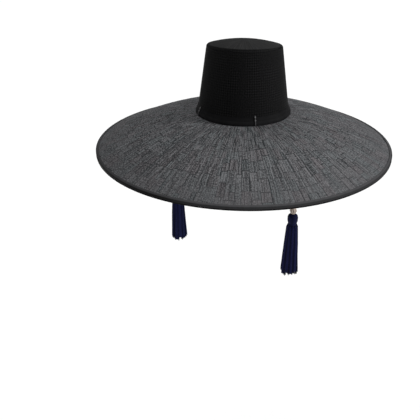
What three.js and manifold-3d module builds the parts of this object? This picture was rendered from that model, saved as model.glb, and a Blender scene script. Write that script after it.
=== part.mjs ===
// A Korean gat: a tapered crown, a wide sloping brim with a bound edge, and two hanging tassels.
// Sizes are in millimetres. +Z is up, -Y is the front, and the origin is the centre of the crown's foot.

import * as THREE from "three";
import { mergeVertices } from "three/addons/utils/BufferGeometryUtils.js";
import Module from "manifold-3d";

const wasm = await Module();
wasm.setup();

// Gap between pieces that touch on the real hat
const CLEARANCE = 0.3;

// Crown: radii are of the outer face
const CROWN_FOOT_RADIUS = 82.5;
const CROWN_TOP_RADIUS = 65.4;
const CROWN_HEIGHT = 118.4;
const CROWN_DOME_RISE = 8.3;
const CROWN_SHOULDER_RADIUS = 5;
// The top climbs by this share of the way across, towards a side this many degrees from the front to +X
const CROWN_TOP_SLOPE = 0.07;
const CROWN_SLOPE_TURN = 16;
const CROWN_WALL = 1.4;
const CROWN_SIDES = 60;
const SHOULDER_STEPS = 3;
const DOME_STEPS = 5;

// Brim: a thin ring that is level at the crown and ever steeper towards its edge
const BRIM_RADIUS = 266.4;
const BRIM_DROP = 57.5;
const BRIM_CURVE = 1.53;
const BRIM_WALL = 1.2;
const BRIM_SIDES = 90;
const BRIM_STEPS = 7;

// Binding: a channel over the brim's edge, thickest below
const BINDING_WALL = 1.75;
const BINDING_WALL_BELOW = 3.6;
const BINDING_COVER = 3;
const BINDING_CORNER = 0.9;

// Band round the crown's foot
const BAND_HEIGHT = 14;
const BAND_THICKNESS = 3.7;
// up is a share of the band's height, out is a share of its thickness
const BAND_SECTIONS = [
  { up: 0, out: 0.66 },
  { up: 0.2, out: 0.9 },
  { up: 0.46, out: 1 },
  { up: 0.76, out: 0.7 },
  { up: 1, out: 0.14 },
];

// Thread stitches that cross the band, at angles from the front
const STITCH_RADIUS = 1;
const STITCH_ANGLE_LEFT = 38.3;
const STITCH_ANGLE_RIGHT = 42.6;
const STITCH_RISE = 1.6;
const STITCH_STAND_OFF = 0.3;
const STITCH_SIDES = 6;
const STITCH_STEPS = 9;

// Where the two cords hang, from the crown's axis
const HANG_SIDE = 125.6;
const HANG_FORWARD = 34.5;

// Knot under the brim
const KNOT_RADIUS = 4;
const KNOT_HEIGHT = 4.5;
const KNOT_SIDES = 12;

// Cord: the few chosen points of its route, from the knot to the bead
const CORD_DIAMETER = 2.2;
const CORD_SIDES = 8;
const CORD_STEPS = 22;
const CORD_HEIGHTS = [-14.1, -50, -82, -114, -146.2];

// Bead: a bud in a ring of petals
const BEAD_LENGTH = 15.2;
const BEAD_RADIUS = 5.5;
const PETAL_RADIUS = 7.4;
const BEAD_PETALS = 8;
// down is a share of the bead's length, out is a share of its radius or of the petals' radius
const BEAD_SECTIONS = [
  { down: 0, out: 0.5, petals: false },
  { down: 0.16, out: 0.6, petals: false },
  { down: 0.3, out: 0.9, petals: false },
  { down: 0.46, out: 1, petals: false },
  { down: 0.56, out: 1, petals: true },
  { down: 0.7, out: 1, petals: false },
  { down: 1, out: 0.84, petals: false },
];

// Tassel: a round head, a pinched neck and a skirt of locks
const HEAD_RADIUS = 9.35;
const HEAD_LENGTH = 18.3;
const NECK_RADIUS = 7.6;
const HEAD_SIDES = 16;
// down is a share of the head's length, out is a share of its radius
const HEAD_SECTIONS = [
  { down: 0, out: 0.5 },
  { down: 0.1, out: 0.8 },
  { down: 0.28, out: 0.97 },
  { down: 0.5, out: 1 },
  { down: 0.75, out: 0.96 },
  { down: 1, out: 0.81 },
];
const SKIRT_LENGTH = 103.5;
const SKIRT_TOP_RADIUS = 10.2;
const SKIRT_FOOT_RADIUS = 16.7;
const LOCK_TOP_RADIUS = 3.3;
const LOCK_FOOT_RADIUS = 4.4;
const LOCK_SIDES = 6;
const LOCK_OVERLAP = 3;
const CORE_SIDES = 12;
const CORE_SHARE = 0.72;
// How much longer or shorter than the skirt each lock hangs
const LOCK_CHANGES = [1.6, -1.2, 2.6, 0.2, -2.2, 1.9, -0.6, 2.9, -1.8, 0.8, -2.6];
// down is a share of the lock's length, out is a share of its foot radius
const LOCK_SECTIONS = [
  { down: 0, out: 0 },
  { down: 0.012, out: 0.46 },
  { down: 0.06, out: LOCK_TOP_RADIUS / LOCK_FOOT_RADIUS },
  { down: 0.955, out: 1 },
  { down: 0.985, out: 0.72 },
  { down: 1, out: 0 },
];

const MATERIALS = {
  crown: { color: 0x17171a, roughness: 0.8, metalness: 0 },
  band: { color: 0x1d1d20, roughness: 0.7, metalness: 0 },
  stitch: { color: 0x4a4a4c, roughness: 0.8, metalness: 0 },
  brim: { color: 0x525457, roughness: 0.8, metalness: 0 },
  binding: { color: 0x303032, roughness: 0.5, metalness: 0 },
  cord: { color: 0x14162c, roughness: 0.8, metalness: 0 },
  bead: { color: 0xb0a698, roughness: 0.5, metalness: 0 },
  tassel: { color: 0x171a33, roughness: 0.7, metalness: 0 },
};

const hat = new THREE.Group();

function addPiece(name, geometry, material) {
  const piece = new THREE.Mesh(geometry, new THREE.MeshStandardMaterial(MATERIALS[material]));
  piece.name = name;
  hat.add(piece);
  return piece;
}

// A body turned about +Z from [radius, height] points that run up its outer face
function turned(profile, sides) {
  const points = profile.map(([radius, height]) => new THREE.Vector2(radius, height));
  const geometry = new THREE.LatheGeometry(points, sides);
  geometry.rotateX(Math.PI / 2);
  return geometry;
}

// A tube with a regular section along a smooth curve through points
function tube(points, radius, sides, steps) {
  const section = new THREE.Shape();
  for (let side = 0; side < sides; side += 1) {
    const angle = (side / sides) * 2 * Math.PI;
    const corner = [radius * Math.cos(angle), radius * Math.sin(angle)];
    if (side === 0) {
      section.moveTo(...corner);
    } else {
      section.lineTo(...corner);
    }
  }
  const extrudePath = new THREE.CatmullRomCurve3(points);
  return new THREE.ExtrudeGeometry(section, { steps, bevelEnabled: false, extrudePath });
}

// The geometry as a solid that can be joined to others
function toSolid(geometry) {
  const bare = geometry.clone();
  bare.deleteAttribute("normal");
  bare.deleteAttribute("uv");
  const merged = mergeVertices(bare, 1e-4);
  const corners = [];
  for (let i = 0; i < merged.index.count; i += 3) {
    const [a, b, c] = [merged.index.getX(i), merged.index.getX(i + 1), merged.index.getX(i + 2)];
    if (a !== b && b !== c && c !== a) {
      corners.push(a, b, c);
    }
  }
  const vertProperties = new Float32Array(merged.attributes.position.array);
  const triVerts = new Uint32Array(corners);
  return new wasm.Manifold(new wasm.Mesh({ numProp: 3, vertProperties, triVerts }));
}

function fromSolid(solid) {
  const mesh = solid.getMesh();
  const geometry = new THREE.BufferGeometry();
  geometry.setAttribute("position", new THREE.BufferAttribute(new Float32Array(mesh.vertProperties), 3));
  geometry.setIndex(new THREE.BufferAttribute(new Uint32Array(mesh.triVerts), 1));
  geometry.computeVertexNormals();
  return geometry;
}

const crownTaper = (CROWN_FOOT_RADIUS - CROWN_TOP_RADIUS) / CROWN_HEIGHT;
const crownLean = Math.atan(crownTaper);

// Radius of the crown's outer face at a height
function crownRadius(height) {
  return CROWN_FOOT_RADIUS - crownTaper * height;
}

// The crown's section, from its foot to its axis, set in from the outer face
function crownSection(inset) {
  const centreHeight = CROWN_HEIGHT - CROWN_SHOULDER_RADIUS;
  const centreRadius = crownRadius(centreHeight) - CROWN_SHOULDER_RADIUS / Math.cos(crownLean);
  const shoulder = CROWN_SHOULDER_RADIUS - inset;
  const domeLean = Math.PI / 2 - Math.atan((2 * CROWN_DOME_RISE) / centreRadius);
  const section = [[crownRadius(CLEARANCE) - inset / Math.cos(crownLean), CLEARANCE]];
  for (let step = 0; step <= SHOULDER_STEPS; step += 1) {
    const angle = crownLean + (step / SHOULDER_STEPS) * (domeLean - crownLean);
    const radius = centreRadius + shoulder * Math.cos(angle);
    section.push([radius, centreHeight + shoulder * Math.sin(angle)]);
  }
  const [domeRadius, domeFoot] = section.at(-1);
  for (let step = 1; step <= DOME_STEPS; step += 1) {
    const out = 1 - step / DOME_STEPS;
    section.push([domeRadius * out, domeFoot + CROWN_DOME_RISE * (1 - out * out)]);
  }
  return section;
}

// The crown's wall grows taller towards the side where the top is highest
function addCrown() {
  const inner = crownSection(CROWN_WALL).reverse();
  const geometry = turned([...inner, ...crownSection(0)], CROWN_SIDES);
  const turn = THREE.MathUtils.degToRad(CROWN_SLOPE_TURN);
  const corners = geometry.attributes.position;
  for (let i = 0; i < corners.count; i += 1) {
    const [x, y, z] = [corners.getX(i), corners.getY(i), corners.getZ(i)];
    const climb = CROWN_TOP_SLOPE * (x * Math.sin(turn) - y * Math.cos(turn));
    corners.setZ(i, z + climb * Math.min(1, z / CROWN_HEIGHT));
  }
  addPiece("crown", geometry, "crown");
}

// Height of the brim's upper face at a radius
function brimHeight(radius) {
  const share = (radius - CROWN_FOOT_RADIUS) / (BRIM_RADIUS - CROWN_FOOT_RADIUS);
  return -BRIM_DROP * Math.max(0, share) ** BRIM_CURVE;
}

function addBrim() {
  const seatRadius = CROWN_FOOT_RADIUS - CROWN_WALL;
  const upper = [[seatRadius, 0]];
  for (let step = 0; step <= BRIM_STEPS; step += 1) {
    const radius = CROWN_FOOT_RADIUS + (step / BRIM_STEPS) * (BRIM_RADIUS - CROWN_FOOT_RADIUS);
    upper.push([radius, brimHeight(radius)]);
  }
  const lower = upper.map(([radius, height]) => [radius, height - BRIM_WALL]);
  addPiece("brim", turned([...lower, ...upper.reverse(), lower[0]], BRIM_SIDES), "brim");
}

function addBinding() {
  const slotRadius = BRIM_RADIUS + CLEARANCE;
  const outerRadius = slotRadius + BINDING_WALL;
  const innerRadius = BRIM_RADIUS - BINDING_COVER;
  const slotTop = (radius) => brimHeight(radius) + CLEARANCE;
  const slotFloor = (radius) => brimHeight(radius) - BRIM_WALL - CLEARANCE;
  const top = (radius) => slotTop(radius) + BINDING_WALL;
  const bottom = (radius) => slotFloor(radius) - BINDING_WALL_BELOW;
  const cornerRadius = outerRadius - BINDING_CORNER;
  const section = [
    [innerRadius, slotFloor(innerRadius)],
    [innerRadius, bottom(innerRadius)],
    [cornerRadius, bottom(cornerRadius)],
    [outerRadius, bottom(outerRadius) + BINDING_CORNER],
    [outerRadius, top(outerRadius) - BINDING_CORNER],
    [cornerRadius, top(cornerRadius)],
    [innerRadius, top(innerRadius)],
    [innerRadius, slotTop(innerRadius)],
    [slotRadius, slotTop(slotRadius)],
    [slotRadius, slotFloor(slotRadius)],
  ];
  addPiece("brim_binding", turned([...section, section[0]], BRIM_SIDES), "binding");
}

// The band's outer face: [radius, height] for each row of its table
function bandFace() {
  return BAND_SECTIONS.map(({ up, out }) => {
    const height = CLEARANCE + up * BAND_HEIGHT;
    return [crownRadius(height) + CLEARANCE + out * BAND_THICKNESS, height];
  });
}

function addBand() {
  const face = bandFace();
  const foot = [crownRadius(CLEARANCE) + CLEARANCE, CLEARANCE];
  const bandTop = CLEARANCE + BAND_HEIGHT;
  const top = [crownRadius(bandTop) + CLEARANCE, bandTop];
  addPiece("crown_band", turned([foot, ...face, top, foot], CROWN_SIDES), "band");
}

function addStitch(name, degrees) {
  const offset = CLEARANCE + STITCH_RADIUS + STITCH_STAND_OFF;
  const bandTop = CLEARANCE + BAND_HEIGHT;
  const route = bandFace().map(([radius, height]) => [radius + offset, height]);
  route[0][1] += STITCH_RADIUS;
  route.push([crownRadius(bandTop + STITCH_RISE) + offset, bandTop + STITCH_RISE]);
  const angle = THREE.MathUtils.degToRad(degrees);
  const points = route.map(([radius, height]) => {
    return new THREE.Vector3(radius * Math.cos(angle), radius * Math.sin(angle), height);
  });
  addPiece(name, tube(points, STITCH_RADIUS, STITCH_SIDES, STITCH_STEPS), "stitch");
}

// A round knot that follows the slope of the brim's lower face
function addKnot(name, side) {
  const flat = 0.7 * KNOT_RADIUS;
  const middle = KNOT_HEIGHT / 2;
  const profile = [
    [0, -KNOT_HEIGHT],
    [flat, -KNOT_HEIGHT],
    [KNOT_RADIUS, -middle],
    [flat, 0],
    [0, 0],
  ];
  const geometry = turned(profile, KNOT_SIDES);
  geometry.translate(side * HANG_SIDE, -HANG_FORWARD, 0);
  const corners = geometry.attributes.position;
  for (let i = 0; i < corners.count; i += 1) {
    const roof = brimHeight(Math.hypot(corners.getX(i), corners.getY(i))) - BRIM_WALL - CLEARANCE;
    corners.setZ(i, corners.getZ(i) + roof);
  }
  addPiece(name, geometry, "cord");
}

function addCord(name, side) {
  const points = CORD_HEIGHTS.map((height) => {
    return new THREE.Vector3(side * HANG_SIDE, -HANG_FORWARD, height);
  });
  addPiece(name, tube(points, CORD_DIAMETER / 2, CORD_SIDES, CORD_STEPS), "cord");
}

const beadTop = CORD_HEIGHTS.at(-1) - CLEARANCE;
const headTop = beadTop - BEAD_LENGTH - CLEARANCE;

function addBead(name, side) {
  const rows = BEAD_SECTIONS.map(({ down, out, petals }) => {
    return [out * (petals ? PETAL_RADIUS : BEAD_RADIUS), -down * BEAD_LENGTH];
  });
  const profile = [[0, -BEAD_LENGTH], ...rows.reverse(), [0, 0]];
  const geometry = turned(profile, 2 * BEAD_PETALS);
  const corners = geometry.attributes.position;
  for (let i = 0; i < corners.count; i += 1) {
    const [x, y] = [corners.getX(i), corners.getY(i)];
    const betweenPetals = Math.cos(BEAD_PETALS * Math.atan2(y, x)) < 0;
    if (betweenPetals && Math.hypot(x, y) > BEAD_RADIUS) {
      const share = BEAD_RADIUS / Math.hypot(x, y);
      corners.setXY(i, x * share, y * share);
    }
  }
  addPiece(name, geometry, "bead").position.set(side * HANG_SIDE, -HANG_FORWARD, beadTop);
}

function lockSolid(index) {
  const length = SKIRT_LENGTH + LOCK_CHANGES[index];
  const rows = LOCK_SECTIONS.map(({ down, out }) => [out * LOCK_FOOT_RADIUS, -down * length]);
  const geometry = turned(rows.reverse(), LOCK_SIDES);
  const topReach = SKIRT_TOP_RADIUS - LOCK_TOP_RADIUS;
  const footReach = SKIRT_FOOT_RADIUS - LOCK_FOOT_RADIUS;
  geometry.rotateY(-Math.atan((footReach - topReach) / SKIRT_LENGTH));
  geometry.translate(topReach, 0, 0);
  geometry.rotateZ((index / LOCK_CHANGES.length) * 2 * Math.PI);
  return toSolid(geometry);
}

// Head, core and locks joined, with the top of the head at zero
function tasselGeometry() {
  const headRows = HEAD_SECTIONS.map(({ down, out }) => [out * HEAD_RADIUS, -down * HEAD_LENGTH]);
  const coreFoot = HEAD_LENGTH + SKIRT_LENGTH + Math.min(...LOCK_CHANGES) - LOCK_OVERLAP;
  const profile = [
    [0, -coreFoot],
    [CORE_SHARE * SKIRT_FOOT_RADIUS, -coreFoot],
    [NECK_RADIUS, -HEAD_LENGTH],
    [0, -HEAD_LENGTH],
  ];
  let solid = toSolid(turned([[0, -HEAD_LENGTH - LOCK_OVERLAP], ...headRows.reverse(), [0, 0]], HEAD_SIDES));
  solid = solid.add(toSolid(turned(profile, CORE_SIDES)));
  for (let index = 0; index < LOCK_CHANGES.length; index += 1) {
    solid = solid.add(lockSolid(index).translate([0, 0, -HEAD_LENGTH]));
  }
  return fromSolid(solid);
}

function addTassel(name, side, turn) {
  const tassel = addPiece(name, tasselGeometry(), "tassel");
  tassel.position.set(side * HANG_SIDE, -HANG_FORWARD, headTop);
  tassel.rotation.z = turn;
}

addCrown();
addBrim();
addBinding();
addBand();
addStitch("band_stitch_left", -90 - STITCH_ANGLE_LEFT);
addStitch("band_stitch_right", -90 + STITCH_ANGLE_RIGHT);
for (const { hand, side, turn } of [
  { hand: "left", side: -1, turn: 0.9 },
  { hand: "right", side: 1, turn: 0.2 },
]) {
  addKnot(`cord_knot_${hand}`, side);
  addCord(`cord_${hand}`, side);
  addBead(`bead_${hand}`, side);
  addTassel(`tassel_${hand}`, side, turn);
}

export default hat;
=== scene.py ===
# The looks of a Korean gat: black woven crown, brim of fine strands, bound edge and two silk tassels.
# Metres, +Z up, -Y is the front, and the origin is the centre of the crown's foot.

import math

import bpy
import numpy as np
from mathutils import Matrix


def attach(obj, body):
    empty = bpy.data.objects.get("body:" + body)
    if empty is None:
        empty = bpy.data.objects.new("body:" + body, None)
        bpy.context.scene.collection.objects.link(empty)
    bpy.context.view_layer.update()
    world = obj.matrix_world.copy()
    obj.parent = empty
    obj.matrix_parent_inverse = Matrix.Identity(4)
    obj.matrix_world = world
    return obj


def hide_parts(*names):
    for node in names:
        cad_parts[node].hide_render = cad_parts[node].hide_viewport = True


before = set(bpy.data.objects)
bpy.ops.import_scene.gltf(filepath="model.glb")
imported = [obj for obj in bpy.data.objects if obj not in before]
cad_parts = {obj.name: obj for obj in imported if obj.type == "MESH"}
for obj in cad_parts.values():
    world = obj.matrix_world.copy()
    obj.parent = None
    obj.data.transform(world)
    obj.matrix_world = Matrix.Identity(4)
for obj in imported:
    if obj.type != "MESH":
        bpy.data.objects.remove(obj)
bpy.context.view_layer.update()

MM = 0.001
FULL_TURN = 2 * math.pi
CLEARANCE = 0.3 * MM

# Camera: the hat is turned to it, and it looks down from in front
HAT_TURN = math.radians(28)
CAMERA_DISTANCE = 0.98197
CAMERA_HEIGHT = 0.32108
CAMERA_YAW = 0.0617
CAMERA_PITCH = 0.4922
CAMERA_ROLL = -0.0040
CAMERA_LENS = 48
# Sides of the hat as the camera sees them
RIGHT = 0.5 * math.pi
FRONT = math.pi
FRONT_LEFT = 1.28 * math.pi
LEFT = 1.5 * math.pi

# Light: a low lamp at the camera's right, a broad one overhead, and a white sky
SIDE_LAMP = {"rise": math.radians(22), "turn": math.radians(-12), "softness": 0.25, "strength": 2.7}
TOP_LAMP = {"rise": math.radians(90), "turn": 0, "softness": 1.8, "strength": 1.55}
SKY_STRENGTH = 0.3
FLOOR_DEPTH = 1.15
FLOOR_HALF = 20

UP = np.array([0, 0, 1])

# Crown: radii are of the outer face
CROWN_FOOT_RADIUS = 82.5 * MM
CROWN_TOP_RADIUS = 65.4 * MM
CROWN_HEIGHT = 118.4 * MM
CROWN_DOME_RISE = 8.3 * MM
CROWN_SHOULDER_RADIUS = 5 * MM
CROWN_WALL = 1.4 * MM
# The top climbs by this share of the way across, towards a side this far from the front to +X
CROWN_TOP_SLOPE = 0.07
CROWN_SLOPE_TURN = math.radians(16)
# Where the wall's weave and colour give way to the top's weave and paler painted light: distances from the
# axis, and heights
CROWN_DISC_EDGE = (64 * MM, 61 * MM)
CROWN_DISC_HEIGHT = (100 * MM, 110 * MM)
# Weaves: pitch up the wall, and how many go round it
CROWN_THREAD_PITCH = 1.25 * MM
CROWN_THREADS = 190
CROWN_SQUARE_PITCH = 4.1 * MM
CROWN_SQUARES = 116
CROWN_RAYS = 96
BAND_THREAD_PITCH = 0.7 * MM
BAND_THREADS = 330

# Brim and its binding
BRIM_RADIUS = 266.4 * MM
BRIM_DROP = 57.5 * MM
BRIM_CURVE = 1.53
BRIM_WALL = 1.2 * MM
STRAND_HEIGHT = 0.3 * MM
BINDING_WALL = 1.75 * MM
BINDING_WALL_BELOW = 3.6 * MM
BINDING_COVER = 3 * MM
BINDING_ROUND = 0.85 * MM
BINDING_LIP_ROUND = 0.55 * MM
BINDING_LIP_RISE = 0.8 * MM
BINDING_RIBS = 1500
BINDING_RIB_SLANT = 900
GROUND_RAYS = 900
GROUND_RING_PITCH = 1.6 * MM

# Strands of the brim, laid in bundles that are broken into short lengths
STRANDS_START = 83.4 * MM
STRANDS_END = 264.4 * MM
STRANDS_ABOVE = {"total": 1000, "face": 1, "seed": 11, "lengths": (11 * MM, 28 * MM)}
STRANDS_BELOW = {"total": 900, "face": -1, "seed": 12, "lengths": (30 * MM, 70 * MM)}
SHORTEST_STRAND = 3 * MM
STRAND_STEPS = 3
# Fewest strands in a bundle, and one more than the most
BUNDLE_COUNTS = (4, 11)
# How far tones and tints stray: of whole lines, of pairs, of a bundle's length and of a strand
LINE_TONE = 0.07
PAIR_TONE = 0.07
LENGTH_TONE = 0.04
LENGTH_TINT = 0.28
STRAND_TONE = 0.25
STRAND_TINT = 0.15
# Gaps beside a bundle in strands, and between lengths, with how often each comes
SIDE_GAPS = ([0.0, 0.5, 1.1], [0.5, 0.35, 0.15])
END_GAPS = ([0.0, 0.5, 0.9, 1.3], [0.3, 0.3, 0.25, 0.15])
# The outer brim is plainer: smaller end gaps past one distance, and fading tones from another
CLOSE_EDGE_START = 220 * MM
CLOSE_EDGE_SHARE = 0.35
PLAIN_EDGE_START = 205 * MM
PLAIN_EDGE_REACH = 45 * MM
PLAIN_EDGE_FADE = 0.75
# Distances over which the strands' specks and streaks grow
SPECKS_GROW = (262 * MM, 175 * MM)
STREAKS_GROW = (175 * MM, 110 * MM)
# Turn of the painted light and shade that goes twice round the brim's strands
PAINTED_LIGHT_TURN = math.radians(134)

# Band round the crown's foot: up is a share of its height, out is a share of its thickness
BAND_HEIGHT = 14 * MM
BAND_THICKNESS = 3.7 * MM
BAND_UP = (0, 0.2, 0.46, 0.76, 1)
BAND_OUT = (0.74, 0.82, 0.64, 0.28, 0.07)
BAND_SEAM_HEIGHT = 7.5 * MM
BAND_SEAM_DEPTH = 0.3 * MM
BAND_SEAM_WIDTH = 0.5 * MM
BAND_FOLD_BLUR = 0.6 * MM
STITCH_RADIUS = 1 * MM
STITCH_ANGLE = {"left": math.radians(38.3), "right": math.radians(42.6)}
STITCH_RISE = 1.6 * MM
STITCH_STAND_OFF = 0.3 * MM
STITCH_THREAD = 0.5 * STITCH_RADIUS
STITCH_TURNS = 3.2
STITCH_STEPS = 36
STITCH_SWING = 0.42 * STITCH_RADIUS
STITCH_KNOTS = (0.52, 0.86)
STITCH_KNOT_SWING = 0.75 * STITCH_RADIUS
STITCH_KNOT_CLIMB = 0.35 * STITCH_RADIUS

# Cords: the points of their route, from the knot under the brim down to the bead
HANG_SIDE = 125.6 * MM
HANG_FORWARD = 34.5 * MM
CORD_DIAMETER = 2.2 * MM
CORD_HEIGHTS = [-14.1 * MM, -50 * MM, -82 * MM, -114 * MM, -146.2 * MM]
CORD_PLIES = 3
CORD_PLY_RADIUS = CORD_DIAMETER / 4.3
CORD_TWIST_LENGTH = 7 * MM
CORD_STEPS_PER_TWIST = 8
KNOT_RADIUS = 4 * MM
KNOT_HEIGHT = 4.5 * MM
KNOT_PLY = 0.62 * MM
KNOT_TURNS = 3

# Bead and tassel: down is a share of a piece's length, out is a share of its radius
BEAD_TOP = CORD_HEIGHTS[-1] - CLEARANCE
BEAD_LENGTH = 15.2 * MM
BEAD_RADIUS = 5.5 * MM
PETAL_RADIUS = 7.4 * MM
BEAD_PETALS = 8
BEAD_GRID = (64, 128)
BEAD_DOWN = (0, 0.1, 0.2, 0.36, 0.56, 0.75, 0.92, 1)
BEAD_OUT = (0.46, 0.52, 0.62, 0.9, 1, 0.98, 0.86, 0.62)
HEAD_TOP = BEAD_TOP - BEAD_LENGTH - CLEARANCE
HEAD_RADIUS = 9.35 * MM
HEAD_LENGTH = 18.3 * MM
HEAD_DOWN = (0, 0.1, 0.28, 0.5, 0.75, 1)
HEAD_OUT = (0.5, 0.8, 0.97, 1, 0.96, 0.81)
HEAD_THREAD = 0.5 * MM
HEAD_THREADS = 64
HEAD_STEPS = 16
NECK_RADIUS = HEAD_OUT[-1] * HEAD_RADIUS
NECK_THREAD = 0.55 * MM
NECK_TURNS = 4
SKIRT_LENGTH = 103.5 * MM
SKIRT_TOP_RADIUS = 10.2 * MM
SKIRT_FOOT_RADIUS = 16.7 * MM
LOCK_TOP_RADIUS = 3.3 * MM
LOCK_FOOT_RADIUS = 4.4 * MM
# How many millimetres longer or shorter than the skirt each lock hangs
LOCK_CHANGES = [1.6, -1.2, 2.6, 0.2, -2.2, 1.9, -0.6, 2.9, -1.8, 0.8, -2.6]
SILKS_PER_LOCK = 70
SILK_STEPS = 14
SILK_HALF_WIDTH = 0.46 * MM
SILK_RISE = 0.34 * MM
TASSEL_TURN = {"left": 0.9, "right": 0.2}
SIDES = {"left": -1, "right": 1}


class Val:
    """A number on a material's node, whose arithmetic adds Math nodes."""

    def __init__(self, paint, socket):
        self.paint = paint
        self.socket = socket

    def maths(self, operation, *values):
        return self.paint.node("ShaderNodeMath", {"operation": operation}, dict(enumerate(values)))

    def __add__(self, other):
        return self.maths("ADD", self, other)

    def __radd__(self, other):
        return self.maths("ADD", other, self)

    def __sub__(self, other):
        return self.maths("SUBTRACT", self, other)

    def __rsub__(self, other):
        return self.maths("SUBTRACT", other, self)

    def __mul__(self, other):
        return self.maths("MULTIPLY", self, other)

    def __rmul__(self, other):
        return self.maths("MULTIPLY", other, self)

    def __pow__(self, other):
        return self.maths("POWER", self, other)

    def __rpow__(self, other):
        return self.maths("POWER", other, self)

    def sine(self):
        return self.maths("SINE", self)

    def clipped(self):
        return self.maths("MAXIMUM", self.maths("MINIMUM", self, 1), 0)

    def ramp(self, low, high):
        """0 below low, 1 above high, and smooth between them."""
        reach = {"Value": self, "From Min": low, "From Max": high}
        return self.paint.node("ShaderNodeMapRange", {"interpolation_type": "SMOOTHSTEP"}, reach)

    def beside(self, output):
        """Another output of the same node."""
        return Val(self.paint, self.socket.node.outputs[output])


class Paint:
    """One material and the nodes that colour it."""

    def __init__(self, name):
        self.material = bpy.data.materials.new(name)
        self.material.use_nodes = True
        self.nodes = self.material.node_tree.nodes
        self.links = self.material.node_tree.links
        self.surface = self.nodes["Principled BSDF"]
        self.place = self.node("ShaderNodeTexCoord", output="Object")

    def node(self, kind, settings=None, sockets=None, output=0):
        made = self.nodes.new(kind)
        for name, value in (settings or {}).items():
            setattr(made, name, value)
        for name, value in (sockets or {}).items():
            self.plug(made.inputs[name], value)
        return Val(self, made.outputs[output])

    def plug(self, socket, value):
        if isinstance(value, Val):
            self.links.new(value.socket, socket)
        elif isinstance(value, tuple) and socket.type == "RGBA":
            socket.default_value = (*value, 1)
        else:
            socket.default_value = value

    def finish(self, sockets):
        for name, value in sockets.items():
            self.plug(self.surface.inputs[name], value)
        return self.material

    def attribute(self, name):
        return self.node("ShaderNodeAttribute", {"attribute_name": name}, output="Fac")

    def round_place(self):
        """Distance from the crown's axis, angle about it, and height."""
        across = self.node("ShaderNodeSeparateXYZ", sockets={"Vector": self.place})
        forward = across.beside("Y")
        distance = (across * across + forward * forward) ** 0.5
        return distance, across.maths("ARCTAN2", forward, across), across.beside("Z")

    def vector(self, x, y, z):
        return self.node("ShaderNodeCombineXYZ", sockets={"X": x, "Y": y, "Z": z})

    def noise(self, place, scale, detail):
        """Soft random variation, from 0 to 1."""
        return self.node("ShaderNodeTexNoise", sockets={"Vector": place, "Scale": scale, "Detail": detail})

    def mixed(self, share, first, second):
        """From the first colour to the second."""
        sockets = {0: share, 6: first, 7: second}
        return self.node("ShaderNodeMix", {"data_type": "RGBA"}, sockets, output=2)

    def bump(self, height, distance, strength):
        sockets = {"Height": height, "Distance": distance, "Strength": strength}
        return self.node("ShaderNodeBump", sockets=sockets)


# Sides are as the camera sees them; used mostly where light and shade are painted by side
def facing(angle, side):
    """1 where the hat faces that side, and -1 on the far side."""
    return (angle + (side - HAT_TURN)).sine()


def crown_paint():
    """Black lacquered horsehair: a fine square weave, with radial strands on the top, which is painted paler
    as painted light from above.
    """
    paint = Paint("crown_weave")
    distance, angle, height = paint.round_place()
    top = distance.ramp(*CROWN_DISC_EDGE) * height.ramp(*CROWN_DISC_HEIGHT)
    threads = (height * (math.pi / CROWN_THREAD_PITCH)).sine() * (angle * CROWN_THREADS).sine()
    drift = paint.noise(paint.place, 28, 2) * 2.5
    rows = (height * (FULL_TURN / CROWN_SQUARE_PITCH) + drift).sine()
    columns = (angle * CROWN_SQUARES + drift).sine()
    patch = paint.noise(paint.place, 45, 3)
    speck = paint.noise(paint.vector(angle * 48, height * 620, 2.0), 1.0, 2)
    squares = (rows + columns) * ((patch - 0.38) * 2.6).clipped() * 0.55
    wall = (squares + (speck - 0.5) * 2.6 + 0.42 + threads * 0.2).clipped()
    streak = paint.noise(paint.vector(angle * 14, distance * 8, 3.7), 2.2, 3)
    rays = (angle * CROWN_RAYS).sine() * 0.5 + 0.5
    disc = (streak * 2.2 + rays * 0.3 - 0.75).clipped()
    wall_colour = paint.mixed(wall, (0.0010, 0.0010, 0.0012), (0.0114, 0.0114, 0.0117))
    # Painted light: the top is painted paler than the wall, as if lit from above
    painted_light_disc_colour = paint.mixed(disc, (0.009, 0.009, 0.0093), (0.029, 0.029, 0.0292))
    relief = threads * 0.5 * (1 - top) + rays * top
    return paint.finish({
        "Base Color": paint.mixed(top, wall_colour, painted_light_disc_colour),
        "Roughness": 0.76 - patch * 0.12,
        "Specular IOR Level": 0.03,
        "Normal": paint.bump(relief, 0.12 * MM, 0.7),
    })


def band_paint():
    """Black cloth roll, with a slightly paler fold along its foot."""
    paint = Paint("band_cloth")
    _, angle, height = paint.round_place()
    weave = (height * (math.pi / BAND_THREAD_PITCH)).sine() * (angle * BAND_THREADS).sine()
    patch = paint.noise(paint.place, 60, 3)
    fold = height.ramp(BAND_SEAM_HEIGHT + BAND_FOLD_BLUR, BAND_SEAM_HEIGHT - BAND_FOLD_BLUR)
    tone = (patch * 0.8 + weave * 0.15).clipped()
    upper = paint.mixed(tone, (0.0036, 0.0036, 0.0040), (0.0098, 0.0098, 0.0104))
    lower = paint.mixed(tone, (0.005, 0.005, 0.0055), (0.0125, 0.0125, 0.013))
    return paint.finish({
        "Base Color": paint.mixed(fold, upper, lower),
        "Roughness": 0.7 - patch * 0.14,
        "Specular IOR Level": 0.03,
        "Normal": paint.bump(weave, 0.08 * MM, 0.6),
    })


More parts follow.
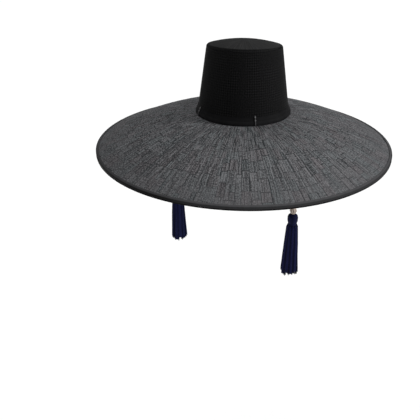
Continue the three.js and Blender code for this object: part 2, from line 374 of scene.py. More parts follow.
def strand_paint():
    """Split bamboo strands, stained grey-black, some cooler and some warmer, with painted light and shade
    round the brim.
    """
    paint = Paint("brim_strand")
    tone = paint.attribute("tone")
    tint = paint.attribute("tint")
    distance, angle, _ = paint.round_place()
    grain = paint.noise(paint.vector(angle * 260, distance * 60, 0.0), 1.0, 3)
    speck = paint.noise(paint.vector(angle * 125, distance * 360, 9.0), 1.0, 2)
    streak = paint.noise(paint.vector(angle * 84, distance * 48, 5.0), 1.0, 2)
    near_crown = distance.ramp(*STREAKS_GROW)
    inside = distance.ramp(*SPECKS_GROW)
    dark = paint.mixed(tint, (0.024, 0.027, 0.029), (0.028, 0.026, 0.028))
    light = paint.mixed(tint, (0.155, 0.164, 0.170), (0.166, 0.159, 0.166))
    fine = (speck - 0.5) * (inside * 2.3 + 1.5) + (streak - 0.5) * near_crown * 4.2
    # Painted light and shade: lighter and darker twice round the brim, and darker on the side at the
    # camera's right, where the side lamp shines; specks and streaks are stronger on the side at the camera's
    # left
    left = facing(angle, LEFT).clipped()
    right = facing(angle, RIGHT).clipped()
    painted_light_and_shade = (angle * 2 + PAINTED_LIGHT_TURN).sine() * 0.075 - right ** 3 * 0.045
    shade = (tone + painted_light_and_shade + (grain - 0.5) * 0.6 + fine * (1 + left * 0.5)).clipped()
    return paint.finish({
        "Base Color": paint.mixed(shade, dark, light),
        "Roughness": 0.75 - grain * 0.15,
        "Specular IOR Level": 0.06,
        "Normal": paint.bump(grain, 0.05 * MM, 0.5),
    })


def brim_ground_paint():
    """The dark woven ground that shows between the brim's strands."""
    paint = Paint("brim_ground")
    distance, angle, _ = paint.round_place()
    rays = (angle * GROUND_RAYS).sine()
    rings = (distance * (FULL_TURN / GROUND_RING_PITCH)).sine()
    patch = paint.noise(paint.vector(angle * 22, distance * 40, 1.3), 1.0, 3)
    shade = (patch + rays * rings * 0.2).clipped()
    return paint.finish({
        "Base Color": paint.mixed(shade, (0.012, 0.014, 0.015), (0.046, 0.047, 0.050)),
        "Roughness": 0.8 - patch * 0.1,
        "Specular IOR Level": 0.05,
        "Normal": paint.bump(rays * 0.5 + rings * 0.5, 0.1 * MM, 0.6),
    })


def binding_paint():
    """Dark cloth edge, palest on top, with painted shade: near black along its foot and on its outer side
    away from the camera's front, and darker on the flange at the camera's front left.
    """
    paint = Paint("binding")
    distance, angle, height = paint.round_place()
    ribs = (angle * BINDING_RIBS + distance * BINDING_RIB_SLANT).sine()
    patch = paint.noise(paint.vector(angle * 30, distance * 30, height * 200), 1.0, 3)
    shade = (patch * 0.9 + ribs * 0.08).clipped()
    rim = -BRIM_DROP
    upper = height.ramp(rim + 0.4 * MM, rim + 1.7 * MM)
    # Painted shade: near black along the foot and on the outer side away from the camera's front, and darker
    # on the flange at the camera's front left
    foot = height.ramp(rim - 2.2 * MM, rim - 4.0 * MM)
    unshaded_front = facing(angle, FRONT).ramp(0.1, 0.95)
    shaded_front_left = facing(angle, FRONT_LEFT).ramp(0.78, 0.96)
    top_colour = paint.mixed(shade, (0.043, 0.043, 0.045), (0.067, 0.067, 0.070))
    side_colour = paint.mixed(shade, (0.018, 0.018, 0.019), (0.028, 0.028, 0.030))
    shaded_flange_colour = paint.mixed(shade, (0.027, 0.027, 0.028), (0.041, 0.041, 0.043))
    painted_shade_colour = paint.mixed(shade, (0.002, 0.002, 0.002), (0.005, 0.005, 0.005))
    outer_colour = paint.mixed(unshaded_front * (1 - shaded_front_left), painted_shade_colour, side_colour)
    flange_colour = paint.mixed(shaded_front_left, top_colour, shaded_flange_colour)
    return paint.finish({
        "Base Color": paint.mixed(foot, paint.mixed(upper, outer_colour, flange_colour), painted_shade_colour),
        "Roughness": 0.55 + patch * 0.12,
        "Specular IOR Level": 0.05,
        "Normal": paint.bump(ribs, 0.06 * MM, 0.4),
    })


def thread_paint(name, dark, light, roughness, specular):
    """Spun thread: each strand has its own tone, and fibres run along it."""
    paint = Paint(name)
    tone = paint.attribute("tone")
    fibre = paint.noise(paint.place, 900, 2)
    return paint.finish({
        "Base Color": paint.mixed((tone * 0.8 + fibre * 0.3).clipped(), dark, light),
        "Roughness": roughness + fibre * 0.1,
        "Specular IOR Level": specular,
        "Normal": paint.bump(fibre, 0.08 * MM, 0.5),
    })


def bead_paint():
    """Pale carved bead, darker at its collar, with painted shade in its grooves and under its petal tips."""
    paint = Paint("bead")
    tone = paint.attribute("tone")
    cloud = paint.noise(paint.place, 260, 4)
    shade = (tone * 1.1 + (cloud - 0.5) * 0.9 - 0.2).clipped()
    return paint.finish({
        "Base Color": paint.mixed(shade, (0.045, 0.036, 0.03), (0.5, 0.415, 0.355)),
        "Roughness": 0.5 - cloud * 0.14,
        "Specular IOR Level": 0.4,
        "Normal": paint.bump(cloud, 0.1 * MM, 0.35),
    })


def floor_paint():
    """Pale matt floor."""
    paint = Paint("floor")
    speck = paint.noise(paint.place, 3, 3)
    return paint.finish({
        "Base Color": paint.mixed(speck, (0.93, 0.93, 0.93), (0.96, 0.96, 0.96)),
        "Roughness": 0.9,
        "Specular IOR Level": 0.05,
    })


def unit(vectors):
    return vectors / np.linalg.norm(vectors, axis=-1, keepdims=True)


def ways(angle):
    """The outward and the round way at an angle about +Z."""
    out_way = np.array([math.cos(angle), math.sin(angle), 0])
    round_way = np.array([-math.sin(angle), math.cos(angle), 0])
    return out_way, round_way


def circle(radius, sides):
    angles = np.arange(sides) * FULL_TURN / sides
    return np.stack([np.cos(angles), np.sin(angles)], axis=-1) * radius


def skin(corners):
    """Four-cornered faces over a grid of corner numbers."""
    rings = [corners[:-1, :-1], corners[1:, :-1], corners[1:, 1:], corners[:-1, 1:]]
    return np.stack(rings, axis=-1).reshape(-1, 4).tolist()


def swept(paths, across, sections):
    """Closed strands. paths and across are [strand, step, xyz], sections are [.., corner, (across, out)]."""
    along = unit(np.gradient(paths, axis=1))
    out = unit(np.cross(along, across))
    square = np.cross(out, along)
    sections = np.broadcast_to(sections, (*paths.shape[:2], *sections.shape[-2:]))
    points = paths[:, :, None] + sections[..., :1] * square[:, :, None] + sections[..., 1:] * out[:, :, None]
    corners = np.arange(points.size // 3).reshape(points.shape[:3])
    beyond = np.roll(corners, -1, axis=2)
    sides = np.stack([corners[:, :-1], beyond[:, :-1], beyond[:, 1:], corners[:, 1:]], axis=-1)
    faces = sides.reshape(-1, 4).tolist() + corners[:, 0, ::-1].tolist() + corners[:, -1].tolist()
    return points.reshape(-1, 3), faces


def turned(section, sides, closed=True):
    """A body turned about +Z from (radius, height) rows that run up its outer face."""
    section = np.array(section)
    angles = np.arange(sides) * FULL_TURN / sides
    radius, height = section.T
    points = np.stack([
        np.cos(angles)[:, None] * radius,
        np.sin(angles)[:, None] * radius,
        np.broadcast_to(height, (sides, len(section))),
    ], axis=-1)
    corners = np.arange(sides * len(section)).reshape(sides, -1)
    corners = np.concatenate([corners, corners[:1]])
    if closed:
        corners = np.concatenate([corners, corners[:, :1]], axis=1)
    return points.reshape(-1, 3), skin(corners)


def coil(phase, reach, level, thread):
    """Thread wound round +Z, with its distance out and its height at each step."""
    out = np.stack([np.cos(phase), np.sin(phase), np.zeros(len(phase))], -1)
    path = out * reach[:, None] + level[:, None] * UP
    return swept(path[None], out[None], circle(thread, 8))


def joined(*bodies):
    """Several bodies' points and faces as one."""
    points = []
    faces = []
    for body_points, body_faces in bodies:
        start = sum(len(group) for group in points)
        faces += [[corner + start for corner in face] for face in body_faces]
        points.append(body_points)
    return np.concatenate(points), faces


def make_piece(name, body, material, slot, nodes, sharp=40, **attributes):
    """A smooth mesh that rides with the hat and stands for the named solids."""
    points, faces = body
    mesh = bpy.data.meshes.new(name)
    mesh.from_pydata(points.tolist(), [], faces)
    for attribute, values in attributes.items():
        layer = mesh.attributes.new(attribute, "FLOAT", "POINT")
        layer.data.foreach_set("value", np.broadcast_to(values, len(points)).astype(np.float32))
    mesh.polygons.foreach_set("use_smooth", [True] * len(mesh.polygons))
    mesh.set_sharp_from_angle(angle=math.radians(sharp))
    mesh.materials.append(material)
    piece = bpy.data.objects.new(name, mesh)
    bpy.context.scene.collection.objects.link(piece)
    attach(piece, "root")
    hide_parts(*nodes)
    return piece


def weld(piece):
    """Joins the corners of a turned body that meet on its axis."""
    bpy.context.view_layer.objects.active = piece
    modifier = piece.modifiers.new("weld", "WELD")
    modifier.merge_threshold = 0.001 * MM
    bpy.ops.object.modifier_apply(modifier=modifier.name)


def smooth_curve(at, known_at, known):
    """A smooth curve through the known values."""
    known_at = np.array(known_at, float)
    known = np.array(known, float)
    slopes = np.gradient(known, known_at)
    index = np.clip(np.searchsorted(known_at, at) - 1, 0, len(known_at) - 2)
    width = known_at[index + 1] - known_at[index]
    share = (at - known_at[index]) / width
    rest = 1 - share
    start = known[index] * (1 + 2 * share) * rest ** 2 + slopes[index] * width * share * rest ** 2
    end = known[index + 1] * share ** 2 * (3 - 2 * share) - slopes[index + 1] * width * share ** 2 * rest
    return start + end


def hump(at, middle, width):
    """1 at the middle, falling away smoothly on both sides."""
    return np.exp(-(((at - middle) / width) ** 2))


def set_camera():
    data = bpy.data.cameras.new("camera")
    data.lens = CAMERA_LENS
    camera = bpy.data.objects.new("camera", data)
    bpy.context.scene.collection.objects.link(camera)
    stand = Matrix.Rotation(HAT_TURN, 4, "Z") @ Matrix.Translation((0, -CAMERA_DISTANCE, CAMERA_HEIGHT))
    tip = Matrix.Rotation(math.pi / 2 - CAMERA_PITCH, 4, "X")
    aim = Matrix.Rotation(CAMERA_YAW, 4, "Z") @ tip @ Matrix.Rotation(CAMERA_ROLL, 4, "Z")
    camera.matrix_world = stand @ aim
    bpy.context.scene.camera = camera


def hang_place(hand):
    return SIDES[hand] * HANG_SIDE, -HANG_FORWARD


def make_cord(hand, material):
    """Plies twisted round a straight hanging line."""
    x, y = hang_place(hand)
    top, foot = CORD_HEIGHTS[0], CORD_HEIGHTS[-1]
    steps = round((top - foot) / CORD_TWIST_LENGTH * CORD_STEPS_PER_TWIST) + 1
    level = np.linspace(top, foot, steps)
    turn = (level - top) / CORD_TWIST_LENGTH * FULL_TURN
    phase = turn + np.arange(CORD_PLIES)[:, None] * FULL_TURN / CORD_PLIES
    out = np.stack([np.cos(phase), np.sin(phase), np.zeros_like(phase)], axis=-1)
    centre = np.stack([np.full(steps, x), np.full(steps, y), level], axis=-1)
    body = swept(centre + out * (CORD_DIAMETER / 2 - CORD_PLY_RADIUS), out, circle(CORD_PLY_RADIUS, 8))
    tone = np.repeat(np.linspace(0.3, 0.7, CORD_PLIES), len(body[0]) // CORD_PLIES)
    return make_piece(f"cord_{hand}_twist", body, material, "navy_cord", [f"cord_{hand}"], tone=tone)


def crown_radius(height):
    return CROWN_FOOT_RADIUS - (CROWN_FOOT_RADIUS - CROWN_TOP_RADIUS) / CROWN_HEIGHT * height


def crown_section(inset):
    """The crown's section from its foot to its axis, set in from the outer face."""
    lean = math.atan((CROWN_FOOT_RADIUS - CROWN_TOP_RADIUS) / CROWN_HEIGHT)
    centre_height = CROWN_HEIGHT - CROWN_SHOULDER_RADIUS
    centre_radius = crown_radius(centre_height) - CROWN_SHOULDER_RADIUS / math.cos(lean)
    dome_lean = math.pi / 2 - math.atan(2 * CROWN_DOME_RISE / centre_radius)
    shoulder = CROWN_SHOULDER_RADIUS - inset
    foot = crown_radius(CLEARANCE) - inset / math.cos(lean)
    angles = np.linspace(lean, dome_lean, 10)
    corner = (centre_radius, centre_height) + shoulder * np.stack([np.cos(angles), np.sin(angles)], -1)
    wall = np.linspace((foot, CLEARANCE), corner[0], 24, endpoint=False)
    out = np.linspace(1, 0, 24)
    dome = np.stack([corner[-1][0] * out, corner[-1][1] + CROWN_DOME_RISE * (1 - out ** 2)], -1)
    return np.concatenate([wall, corner, dome[1:]])


def make_crown():
    """A hollow tapered wall under a low dome, both taller towards the side where the top is highest."""
    section = np.concatenate([crown_section(CROWN_WALL)[::-1], crown_section(0)])
    points, faces = turned(section, 240, False)
    x, y, z = points.T
    climb = CROWN_TOP_SLOPE * (x * math.sin(CROWN_SLOPE_TURN) - y * math.cos(CROWN_SLOPE_TURN))
    points[:, 2] = z + climb * np.minimum(1, z / CROWN_HEIGHT)
    weld(make_piece("crown_weave", (points, faces), crown_paint(), "crown_weave", ["crown"]))


def band_face(height):
    """Radius of the band's outer face at a height above its foot."""
    out = smooth_curve(height / BAND_HEIGHT, BAND_UP, BAND_OUT)
    seam = BAND_SEAM_DEPTH * hump(height, BAND_SEAM_HEIGHT, BAND_SEAM_WIDTH)
    return crown_radius(CLEARANCE + height) + CLEARANCE + out * BAND_THICKNESS - seam


def make_band():
    up = np.linspace(0, BAND_HEIGHT, 44)
    face = np.stack([band_face(up), CLEARANCE + up], -1)
    back = crown_radius(CLEARANCE + up[[-1, 0]]) + CLEARANCE
    section = np.concatenate([face, np.stack([back, CLEARANCE + up[[-1, 0]]], -1)])
    make_piece("crown_band_roll", turned(section, 240), band_paint(), "band_cloth", ["crown_band"])


def make_stitch(hand, material):
    """Two threads twisted together over the band, with a small knot halfway and at the top."""
    out_way, round_way = ways(-math.pi / 2 + SIDES[hand] * STITCH_ANGLE[hand])
    up = np.linspace(0, BAND_HEIGHT + STITCH_RISE, STITCH_STEPS)
    stand_off = STITCH_THREAD + STITCH_STAND_OFF
    over_band = band_face(np.minimum(up, BAND_HEIGHT))
    over_crown = crown_radius(CLEARANCE + up) + CLEARANCE
    radius = np.where(up > BAND_HEIGHT, over_crown, over_band) + stand_off
    phase = (np.linspace(0, STITCH_TURNS * FULL_TURN, STITCH_STEPS) + np.array([[0], [math.pi]]))[..., None]
    centre = radius[:, None] * out_way + (CLEARANCE + STITCH_RADIUS + up)[:, None] * UP
    paths = centre + (np.cos(phase) * round_way + np.sin(phase) * out_way) * STITCH_SWING
    threads = swept(paths, np.broadcast_to(round_way, paths.shape), circle(STITCH_THREAD, 8))
    turn = np.linspace(0, FULL_TURN, 17)[None, :, None]
    ring = (np.cos(turn) * round_way + np.sin(turn) * out_way) * STITCH_KNOT_SWING
    ring = ring + np.linspace(-STITCH_KNOT_CLIMB, STITCH_KNOT_CLIMB, 17)[None, :, None] * UP
    knots = []
    for share in STITCH_KNOTS:
        middle = centre[round(share * (STITCH_STEPS - 1))]
        knots.append(swept(middle + ring, np.broadcast_to(UP, ring.shape), circle(STITCH_THREAD, 8)))
    body = joined(threads, *knots)
    # Painted highlight: the knots are much lighter than the threads
    tone = np.concatenate([np.full(len(threads[0]), 0.2), np.full(len(body[0]) - len(threads[0]), 1.0)])
    node = f"band_stitch_{hand}"
    make_piece(f"{node}_threads", body, material, "stitch_thread", [node], tone=tone)


def brim_share(radius):
    """0 at the crown's foot and 1 at the brim's edge."""
    return np.maximum(0, (radius - CROWN_FOOT_RADIUS) / (BRIM_RADIUS - CROWN_FOOT_RADIUS))


def brim_height(radius):
    """Height of the brim's upper face."""
    return -BRIM_DROP * brim_share(radius) ** BRIM_CURVE


def brim_slope(radius):
    steepest = -BRIM_DROP * BRIM_CURVE / (BRIM_RADIUS - CROWN_FOOT_RADIUS)
    return steepest * brim_share(radius) ** (BRIM_CURVE - 1)


def make_brim_ground():
    radius = np.linspace(CROWN_FOOT_RADIUS - CROWN_WALL, BRIM_RADIUS, 44)
    upper = np.stack([radius, brim_height(radius) - STRAND_HEIGHT], -1)
    lower = np.stack([radius, brim_height(radius) - BRIM_WALL + STRAND_HEIGHT], -1)
    section = np.concatenate([lower, upper[::-1]])
    make_piece("brim_ground", turned(section, 360), brim_ground_paint(), "brim_weave", ["brim"])


def strand_rows(rng, total, lengths):
    """Bundles broken into lengths: each strand's angle, inner and outer radius, tone and tint."""
    pitch = FULL_TURN / total
    rows = []
    first = 0
    while first < total:
        count = min(int(rng.integers(*BUNDLE_COUNTS)), total - first)
        gap = 0.0
        start = STRANDS_START - rng.uniform(0, lengths[1])
        line_tone = rng.normal(0, LINE_TONE, count)
        while start < STRANDS_END:
            end = start + rng.uniform(*lengths)
            if rng.random() < 0.4:
                gap = rng.choice(SIDE_GAPS[0], p=SIDE_GAPS[1])
            space = rng.choice(END_GAPS[0], p=END_GAPS[1]) * MM
            space *= CLOSE_EDGE_SHARE if end > CLOSE_EDGE_START else 1
            tone = rng.normal(0, LENGTH_TONE)
            tint = rng.normal(0.5, LENGTH_TINT)
            pair_tone = np.repeat(rng.normal(0, PAIR_TONE, count), 2)[:count]
            for place in range(count):
                inner = (place + 0.5) / count - 0.5
                angle = (first + (inner * (count - gap) + count / 2)) * pitch
                shade = tone + line_tone[place] + pair_tone[place] + rng.normal(0, STRAND_TONE)
                low = max(STRANDS_START, start + rng.uniform(0, 0.5) * MM)
                high = min(STRANDS_END, end - space - rng.uniform(0, 0.5) * MM)
                if high - low > SHORTEST_STRAND:
                    rows.append((angle, low, high, shade, tint + rng.normal(0, STRAND_TINT)))
            start = end
        first += count
    return np.array(rows).T


def brim_strands(total, face, seed, lengths):
    """Strands on the brim's upper face, 1, or lower face, -1, with the tone and tint of each point."""
    rng = np.random.default_rng(seed)
    pitch = FULL_TURN / total
    steps = STRAND_STEPS
    angle, low, high, shade, tint = strand_rows(rng, total, lengths)
    radius = low[:, None] + (high - low)[:, None] * np.linspace(0, 1, steps)
    wander = rng.normal(0, 0.16, (len(angle), 2)) * pitch
    turn = angle[:, None] + np.linspace(wander[:, 0], wander[:, 1], steps, axis=1)
    slope = brim_slope(radius)
    lean = 1 / np.sqrt(1 + slope ** 2)
    normal = np.stack([-slope * lean * np.cos(turn), -slope * lean * np.sin(turn), lean], -1) * face
    depth = STRAND_HEIGHT if face > 0 else BRIM_WALL - STRAND_HEIGHT
    paths = np.stack([radius * np.cos(turn), radius * np.sin(turn), brim_height(radius) - depth], -1)
    along = unit(np.gradient(paths, axis=1))
    across = np.cross(normal, along)
    half_width = radius * pitch * 0.5 * rng.uniform(0.9, 1.05, (len(angle), 1))
    rise = STRAND_HEIGHT * rng.uniform(0.5, 0.8, (len(angle), 1)) * np.ones(steps)
    rise[:, [0, -1]] *= 0.8
    flat = np.zeros_like(rise)
    sections = np.stack([
        np.stack([-half_width, flat], -1),
        np.stack([half_width, flat], -1),
        np.stack([half_width * 0.45, rise], -1),
        np.stack([-half_width * 0.45, rise], -1),
    ], axis=2)
    fade = 1 - PLAIN_EDGE_FADE * np.clip((radius - PLAIN_EDGE_START) / PLAIN_EDGE_REACH, 0, 1)
    corners = sections.shape[2]
    tones = np.repeat((0.46 + shade[:, None] * fade).ravel(), corners)
    tints = np.repeat(np.clip(tint, 0, 1), steps * corners)
    return swept(paths, across, sections), tones, tints


def make_brim_strands(material):
    for name, strands in (("brim_strands", STRANDS_ABOVE), ("brim_strands_below", STRANDS_BELOW)):
        body, tone, tint = brim_strands(**strands)
        make_piece(name, body, material, "brim_weave", ["brim"], sharp=75, tone=tone, tint=tint)


def make_binding():
    """A rounded channel over the brim's edge."""
    slot_radius = BRIM_RADIUS + CLEARANCE
    outer = slot_radius + BINDING_WALL
    inner = BRIM_RADIUS - BINDING_COVER
    top_lift = CLEARANCE + BINDING_WALL
    lip_lift = CLEARANCE + BINDING_LIP_RISE
    slot_drop = BRIM_WALL + CLEARANCE
    floor_drop = slot_drop + BINDING_WALL_BELOW
    edge = BINDING_ROUND
    lip = BINDING_LIP_ROUND
    tilt = math.degrees(math.atan(brim_slope(BRIM_RADIUS)))

    def arc(radius, height, size, start, end):
        angles = np.radians(np.linspace(start, end, 7))
        return [(radius + size * math.cos(a), height + size * math.sin(a)) for a in angles]

    section = [
        (inner, brim_height(inner) - slot_drop),
        *arc(inner + lip, brim_height(inner + lip) - floor_drop + lip, lip, 180 + tilt, 270 + tilt),
        *arc(outer - edge, brim_height(outer - edge) - floor_drop + edge, edge, 270 + tilt, 360),
        *arc(outer - edge, brim_height(outer) + top_lift - edge, edge, 0, 90 + tilt),
        *arc(inner + lip, brim_height(inner + lip) + lip_lift - lip, lip, 90 + tilt, 180 + tilt),
        (inner, brim_height(inner) + CLEARANCE),
        (slot_radius, brim_height(slot_radius) + CLEARANCE),
        (slot_radius, brim_height(slot_radius) - slot_drop),
    ]
    make_piece("brim_binding_edge", turned(section, 480), binding_paint(), "binding", ["brim_binding"])


def make_knot(hand, material):
    """Three turns of cord round a small core, close under the brim's slope."""
    share = np.linspace(0, 1, KNOT_TURNS * 20 + 1)
    reach = (KNOT_RADIUS - KNOT_PLY) * (0.72 + 0.28 * np.sin(math.pi * share))
    height = -KNOT_PLY - share * (KNOT_HEIGHT - 2 * KNOT_PLY)
    turns = coil(share * KNOT_TURNS * FULL_TURN, reach, height, KNOT_PLY)
    core_share = np.linspace(0, 1, 9)
    core_radius = 0.66 * KNOT_RADIUS * np.sin(math.pi * core_share) ** 0.5
    core = np.stack([core_radius, -KNOT_HEIGHT * (1 - core_share)], -1)
    points, faces = joined(turns, turned(core, 24, False))
    points = points + np.array([*hang_place(hand), 0])
    distance = np.hypot(points[:, 0], points[:, 1])
    points[:, 2] += brim_height(distance) - BRIM_WALL - CLEARANCE
    tone = np.where(np.arange(len(points)) < len(turns[0]), 0.6, 0.2)
    node = f"cord_knot_{hand}"
    weld(make_piece(f"{node}_turns", (points, faces), material, "navy_cord", [node], tone=tone))


def make_bead(hand, material):
    """A bud in a ring of petals, with a dark collar above."""
    rows, columns = BEAD_GRID
    down = np.linspace(0, 1, rows)[:, None]
    angle = (np.arange(columns) / columns * FULL_TURN)[None]
    radius = np.repeat(smooth_curve(down, BEAD_DOWN, BEAD_OUT) * BEAD_RADIUS, columns, axis=1)
    wave = np.cos(angle * BEAD_PETALS) * 0.5 + 0.5
    tip = hump(down - 0.06 * wave, 0.5, 0.075) * wave ** 1.6
    root = hump(down, 0.34, 0.16) * wave * 0.22
    groove = hump(down, 0.5, 0.3) * (1 - wave) ** 6 * 0.12
    lower = hump(down, 0.8, 0.16) * np.cos(angle * BEAD_PETALS + math.pi) ** 8 * 0.1
    radius = radius + (PETAL_RADIUS - BEAD_RADIUS) * (tip * 0.92 + root) - BEAD_RADIUS * (groove + lower)
    height = np.broadcast_to(-down * BEAD_LENGTH, radius.shape)
    radius = np.pad(radius, ((1, 1), (0, 0)))
    height = np.concatenate([height[:1], height, height[-1:]])
    ring = np.broadcast_to(angle, radius.shape)
    x, y = hang_place(hand)
    points = np.stack([x + radius * np.cos(ring), y + radius * np.sin(ring), BEAD_TOP + height], -1)
    corners = np.arange(points.size // 3).reshape(points.shape[:2])
    corners = np.concatenate([corners, corners[:, :1]], axis=1)
    collar = np.clip((down - 0.14) / 0.06, 0, 1)
    # Painted shade: darker in the grooves, between the lower petals and under the petal tips
    shade_under_tips = 0.5 * hump(down, 0.68, 0.07) * wave
    tone = collar * (1 - 5 * groove - 4 * lower - shade_under_tips) * np.ones((1, columns))
    tone = np.concatenate([tone[:1], tone, tone[-1:]]).ravel()
    node = f"bead_{hand}"
    body = (points.reshape(-1, 3), skin(corners))
    bead = make_piece(f"{node}_bud", body, material, "bead", [node], tone=tone)
    weld(bead)
    return bead


def tassel_head():
    """Threads laid down over a round core, and the core."""
    share = np.linspace(0, 1, HEAD_STEPS)
    radius = smooth_curve(share, HEAD_DOWN, HEAD_OUT) * HEAD_RADIUS - HEAD_THREAD * 0.6
    radius[0] = 0.25 * HEAD_RADIUS
    angle = (np.arange(HEAD_THREADS) / HEAD_THREADS * FULL_TURN)[:, None]
    level = np.broadcast_to(-share * HEAD_LENGTH - HEAD_THREAD * 0.3, (HEAD_THREADS, HEAD_STEPS))
    paths = np.stack([radius * np.cos(angle), radius * np.sin(angle), level], -1)
    across = np.broadcast_to(np.stack([np.sin(angle), -np.cos(angle), 0 * angle], -1), paths.shape)
    width = np.maximum(radius, 3 * MM) * FULL_TURN / HEAD_THREADS * 0.62
    sizes = np.stack([width, np.full(HEAD_STEPS, HEAD_THREAD)], -1)
    threads = swept(paths, across, sizes[:, None] * circle(1, 6))
    core_share = np.linspace(0, 1, 20)
    core_radius = smooth_curve(core_share, HEAD_DOWN, HEAD_OUT) * HEAD_RADIUS - 1.1 * HEAD_THREAD
    rows = np.stack([core_radius, -core_share * HEAD_LENGTH], -1)[::-1]
    rows = np.concatenate([[(0, -HEAD_LENGTH)], rows, [(0, 0)]])
    rows[-2:, 1] -= HEAD_THREAD
    return threads, turned(rows, 48, False)


def tassel_neck():
    """Turns of thread that tie the head off."""
    steps = NECK_TURNS * 32 + 1
    phase = np.linspace(0, NECK_TURNS * FULL_TURN, steps)
    level = -HEAD_LENGTH + 0.9 * MM - np.linspace(0, NECK_TURNS * 1.7 * NECK_THREAD, steps)
    return coil(phase, np.full(steps, NECK_RADIUS), level, NECK_THREAD)


def lock_radius(share):
    """Radius of a lock at a share of its length."""
    top = np.interp(share, (0, 0.012, 0.06), (0.1, 0.46 * LOCK_FOOT_RADIUS / LOCK_TOP_RADIUS, 1))
    return top * (LOCK_TOP_RADIUS + (LOCK_FOOT_RADIUS - LOCK_TOP_RADIUS) * share)


def lock_reach(share):
    """Distance of a lock's middle from the hanging line at a share of its length."""
    top_reach = SKIRT_TOP_RADIUS - LOCK_TOP_RADIUS
    foot_reach = SKIRT_FOOT_RADIUS - LOCK_FOOT_RADIUS
    return top_reach + (foot_reach - top_reach) * share


def tassel_skirt(rng):
    """Silk strands in locks, with their tones, which hold painted light and shade, and the locks' cores,
    dark as painted shade.
    """
    paths = []
    tones = []
    cores = []
    for index, change in enumerate(LOCK_CHANGES):
        out_way, round_way = ways(index / len(LOCK_CHANGES) * FULL_TURN)
        length = SKIRT_LENGTH + change * MM
        lock_tone = rng.normal(0, 0.2)
        sway = rng.normal(0, 0.35 * MM, 2)
        for strand in range(SILKS_PER_LOCK):
            place = (strand * 0.618 % 1) * FULL_TURN
            outward = max(0.0, math.cos(place))
            # The outward silks end higher, which rounds the lock's foot
            share = np.linspace(0, rng.uniform(1.008, 1.028) - 0.045 * outward ** 2, SILK_STEPS)
            depth = 0.95 if strand % 5 else rng.uniform(0.3, 0.9)
            phase = place + share * rng.normal(0, 0.12)
            radius = lock_radius(share) * depth
            wave = np.sin(share * rng.uniform(5, 9) + rng.uniform(0, FULL_TURN)) * 0.22 * MM
            reach = lock_reach(share) + np.cos(phase) * radius + sway[1] * np.sin(share * math.pi * 1.5)
            side = np.sin(phase) * radius + wave + sway[0] * np.sin(share * math.pi)
            level = -HEAD_LENGTH - share * length
            path = reach[:, None] * out_way + side[:, None] * round_way + level[:, None] * UP
            paths.append((path, np.cos(phase)[:, None] * out_way + np.sin(phase)[:, None] * round_way))
            # Painted light and shade: silks on a lock's outer face are lighter, and those turned into the
            # grooves between locks darker
            tones.append(0.06 + lock_tone + 0.9 * outward ** 3 + rng.normal(0, 0.12))
        share = np.linspace(0.02, 0.985, 8)
        centre = lock_reach(share)[:, None] * out_way + (-HEAD_LENGTH - share * length)[:, None] * UP
        core_radius = lock_radius(share) * 0.86
        core_radius[-1] *= 0.8
        section = circle(1, 8) * core_radius[:, None, None]
        cores.append(swept(centre[None], np.broadcast_to(round_way, (1, 8, 3)), section))
    line = np.array([path for path, _ in paths])
    out = np.array([away for _, away in paths])
    across = np.cross(out, unit(np.gradient(line, axis=1)))
    foot = -0.4 * SILK_RISE
    section = np.array([(-SILK_HALF_WIDTH, foot), (SILK_HALF_WIDTH, foot), (0, SILK_RISE)])
    taper = np.ones(SILK_STEPS)
    taper[-1] = 0.7
    strands = swept(line, across, section * taper[:, None, None])
    return strands, np.repeat(tones, SILK_STEPS * 3), cores


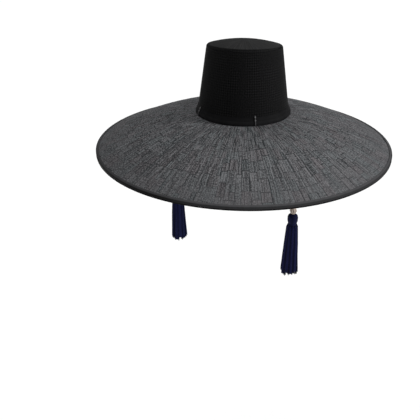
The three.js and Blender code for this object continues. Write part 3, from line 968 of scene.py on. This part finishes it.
def make_tassel(hand, material, seed):
    """Skirt, head and neck round cores painted dark as shade, turned as one about the hanging line."""
    rng = np.random.default_rng(seed)
    skirt, skirt_tone, cores = tassel_skirt(rng)
    threads, head_core = tassel_head()
    neck = tassel_neck()
    inner_share = np.linspace(0.02, 0.98, 10)
    inner_reach = np.linspace(NECK_RADIUS * 0.9, 0.7 * SKIRT_FOOT_RADIUS, 10)
    inner = np.stack([inner_reach, -HEAD_LENGTH - inner_share * SKIRT_LENGTH], -1)[::-1]
    inner = np.concatenate([[(0, inner[0, 1])], inner, [(0, inner[-1, 1])]])
    points, faces = joined(skirt, threads, neck, head_core, turned(inner, 32, False), *cores)
    thread_tone = np.repeat(0.5 + rng.normal(0, 0.14, HEAD_THREADS), len(threads[0]) // HEAD_THREADS)
    tone = np.concatenate([skirt_tone, thread_tone, np.full(len(neck[0]), 0.55)])
    # Painted shade: the cores inside the head, the skirt and each lock are near black
    tone = np.concatenate([tone, np.full(len(points) - len(tone), 0.05)])
    spin = np.array([*ways(TASSEL_TURN[hand]), UP])
    body = (points @ spin + np.array([*hang_place(hand), HEAD_TOP]), faces)
    node = f"tassel_{hand}"
    weld(make_piece(f"{node}_silk", body, material, "tassel_silk", [node], sharp=75, tone=tone))


def make_floor():
    points, faces = turned([(FLOOR_HALF, 0), (FLOOR_HALF / 2, 0), (0, 0)], 48, False)
    mesh = bpy.data.meshes.new("floor")
    mesh.from_pydata((points - np.array([0, 0, FLOOR_DEPTH])).tolist(), [], faces)
    mesh.materials.append(floor_paint())
    floor = bpy.data.objects.new("floor", mesh)
    bpy.context.scene.collection.objects.link(floor)


def add_lamp(name, values):
    """A soft lamp that shines along its own -Z, tipped towards the camera's right and then turned."""
    light = bpy.data.lights.new(name, "SUN")
    light.energy = values["strength"]
    light.angle = values["softness"]
    lamp = bpy.data.objects.new(name, light)
    bpy.context.scene.collection.objects.link(lamp)
    tip = Matrix.Rotation(math.pi / 2 - values["rise"], 4, "Y")
    lamp.matrix_world = Matrix.Rotation(HAT_TURN + values["turn"], 4, "Z") @ tip


def light_scene():
    add_lamp("side_lamp", SIDE_LAMP)
    add_lamp("top_lamp", TOP_LAMP)
    world = bpy.data.worlds.new("studio")
    bpy.context.scene.world = world
    world.use_nodes = True
    sky = world.node_tree.nodes["Background"]
    sky.inputs["Color"].default_value = (1, 1, 1, 1)
    sky.inputs["Strength"].default_value = SKY_STRENGTH
    bpy.context.scene.view_settings.view_transform = "Standard"


set_camera()
navy = thread_paint("navy_cord", (0.003, 0.0035, 0.014), (0.009, 0.0105, 0.036), 0.6, 0.08)
silk = thread_paint("tassel_silk", (0.0005, 0.0006, 0.0035), (0.0112, 0.0135, 0.058), 0.5, 0.06)
grey_thread = thread_paint("stitch_thread", (0.022, 0.022, 0.023), (0.20, 0.20, 0.203), 0.7, 0.15)
ivory = bead_paint()
for hand, seed in (("left", 21), ("right", 22)):
    cord = make_cord(hand, navy)
    bead = make_bead(hand, ivory)
    make_tassel(hand, silk, seed)
    make_knot(hand, navy)
    make_stitch(hand, grey_thread)
make_crown()
make_band()
make_brim_ground()
make_brim_strands(strand_paint())
make_binding()
make_floor()
light_scene()
